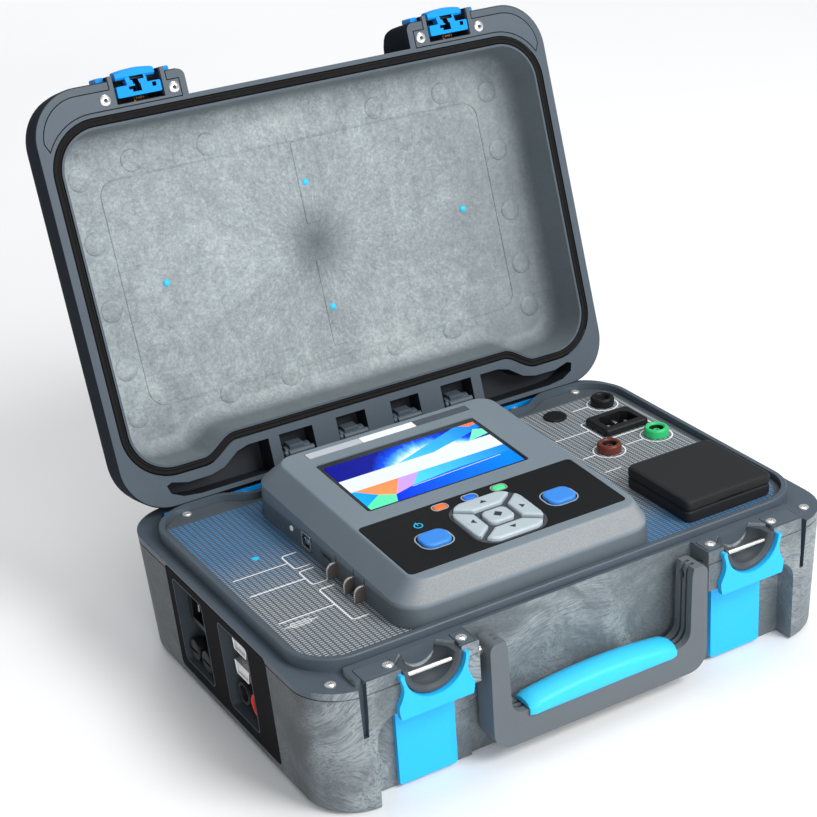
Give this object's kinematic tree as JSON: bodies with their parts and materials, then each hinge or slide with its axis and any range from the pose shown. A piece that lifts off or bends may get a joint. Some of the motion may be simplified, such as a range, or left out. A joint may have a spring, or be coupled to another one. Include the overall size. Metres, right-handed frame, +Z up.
{
  "type": "portable insulation resistance tester",
  "caption": "Portable insulation resistance tester built into a hinged hard carrying case, with a display console, keys, test sockets, side connectors and a swing handle.",
  "frame": {"origin": "centre of the case's flat underside, half-way across its width", "axes": "+Z up, front of the case (handle and latches) faces -Y, +X to the right seen from the front; lid shown open"},
  "size_m": [0.3071, 0.3047, 0.2886],
  "materials": {
    "grey_shell": "short-fibre moulded, faint swirls",
    "grey_smooth": "fine satin texture",
    "dark_trim": "fine satin texture",
    "blue": "smooth satin",
    "steel": "bright",
    "black": "satin",
    "red": "satin",
    "green": "satin",
    "brown": "satin",
    "screen": "glossy display window",
    "module": "bare",
    "board": "solder mask",
    "copper": "laminations and enamelled winding",
    "lamp_orange": "translucent",
    "lamp_blue": "translucent",
    "lamp_green": "translucent",
    "key_blue": "soft satin",
    "key_white": "soft satin",
    "tab_brown": "satin",
    "rubber": "matt"
  },
  "bodies": {
    "case_base": {"base_shell": "grey_shell", "base_trim_left_outer": "dark_trim", "base_trim_left_inner": "dark_trim", "base_trim_right_outer": "dark_trim", "base_trim_right_inner": "dark_trim", "latch_receiver_left": "dark_trim", "latch_receiver_right": "dark_trim", "catch_pin_left": "steel", "catch_pin_right": "steel", "latch_plate_left": "blue", "latch_plate_right": "blue", "side_connector_plate": "black", "side_mains_inlet": "black", "serial_connector_upper": "steel", "serial_connector_lower": "steel", "side_socket_black": "black", "side_socket_red": "red", "panel_plate": "grey_smooth", "console_housing": "grey_smooth", "display_window": "screen", "display_module": "module", "keypad_overlay": "black", "lamp_orange": "lamp_orange", "lamp_blue": "lamp_blue", "lamp_green": "lamp_green", "main_board": "board", "mains_transformer": "copper", "panel_mains_inlet": "black", "socket_green": "green", "socket_brown": "brown", "socket_black": "black", "blank_cap": "black", "test_socket_frame": "black", "test_socket_outlet": "black", "usb_port": "steel", "fuse_tab_1": "tab_brown", "fuse_tab_2": "tab_brown", "fuse_tab_3": "tab_brown", "hinge_pin": "steel", "handle_pin_left": "steel", "handle_pin_right": "steel"},
    "lid": {"lid_shell": "grey_shell", "lid_gasket": "rubber", "lid_trim_left": "dark_trim", "lid_trim_right": "dark_trim"},
    "left_lid_latch": {"lid_latch_left": "blue"},
    "right_lid_latch": {"lid_latch_right": "blue"},
    "carrying_handle": {"handle_frame": "grey_smooth", "handle_grip": "blue"},
    "test_cover": {"test_socket_cover": "black"},
    "front_fuse_cap": {"fuse_cap_front": "black"},
    "rear_fuse_cap": {"fuse_cap_rear": "black"},
    "escape_key": {"key_escape": "key_blue"},
    "tab_key": {"key_tab": "key_blue"},
    "up_key": {"key_up": "key_white"},
    "down_key": {"key_down": "key_white"},
    "left_key": {"key_left": "key_white"},
    "right_key": {"key_right": "key_white"},
    "centre_key": {"key_centre": "key_white"}
  },
  "joints": [
    {"name": "lid_hinge", "type": "hinge", "parent": "case_base", "child": "lid", "pos_m": [0, 0.1045, 0.0815], "axis": [1, 0, 0], "range_deg": [0, 107]},
    {"name": "handle_pivot", "type": "hinge", "parent": "case_base", "child": "carrying_handle", "pos_m": [0, -0.1025, 0.0625], "axis": [-1, 0, 0], "range_deg": [0, 100]},
    {"name": "test_cover_hinge", "type": "hinge", "parent": "case_base", "child": "test_cover", "pos_m": [0.1048, -0.0254, 0.0788], "axis": [1, 0, 0], "range_deg": [-100, 0]},
    {"name": "left_lid_latch_pivot", "type": "hinge", "parent": "lid", "child": "left_lid_latch", "pos_m": [-0.0932, 0.17419, 0.27696], "axis": [-1, 0, 0], "range_deg": [0, 18], "stiffness_Nm_per_rad": 0.3},
    {"name": "right_lid_latch_pivot", "type": "hinge", "parent": "lid", "child": "right_lid_latch", "pos_m": [0.0932, 0.17419, 0.27696], "axis": [-1, 0, 0], "range_deg": [0, 18], "stiffness_Nm_per_rad": 0.3},
    {"name": "front_fuse_cap_turn", "type": "hinge", "parent": "case_base", "child": "front_fuse_cap", "pos_m": [-0.1436, 0.0265, 0.0215], "axis": [-1, 0, 0], "range_deg": [0, 90]},
    {"name": "rear_fuse_cap_turn", "type": "hinge", "parent": "case_base", "child": "rear_fuse_cap", "pos_m": [-0.1436, 0.041, 0.0215], "axis": [-1, 0, 0], "range_deg": [0, 90]},
    {"name": "escape_key_press", "type": "slide", "parent": "case_base", "child": "escape_key", "axis": [0, 0.0499, -0.9988], "range_m": [0, 0.0008], "stiffness_N_per_m": 400},
    {"name": "tab_key_press", "type": "slide", "parent": "case_base", "child": "tab_key", "axis": [0, 0.0499, -0.9988], "range_m": [0, 0.0008], "stiffness_N_per_m": 400},
    {"name": "up_key_press", "type": "slide", "parent": "case_base", "child": "up_key", "axis": [0, 0.0499, -0.9988], "range_m": [0, 0.0008], "stiffness_N_per_m": 400},
    {"name": "down_key_press", "type": "slide", "parent": "case_base", "child": "down_key", "axis": [0, 0.0499, -0.9988], "range_m": [0, 0.0008], "stiffness_N_per_m": 400},
    {"name": "left_key_press", "type": "slide", "parent": "case_base", "child": "left_key", "axis": [0, 0.0499, -0.9988], "range_m": [0, 0.0008], "stiffness_N_per_m": 400},
    {"name": "right_key_press", "type": "slide", "parent": "case_base", "child": "right_key", "axis": [0, 0.0499, -0.9988], "range_m": [0, 0.0008], "stiffness_N_per_m": 400},
    {"name": "centre_key_press", "type": "slide", "parent": "case_base", "child": "centre_key", "axis": [0, 0.0499, -0.9988], "range_m": [0, 0.0008], "stiffness_N_per_m": 400}
  ]
}
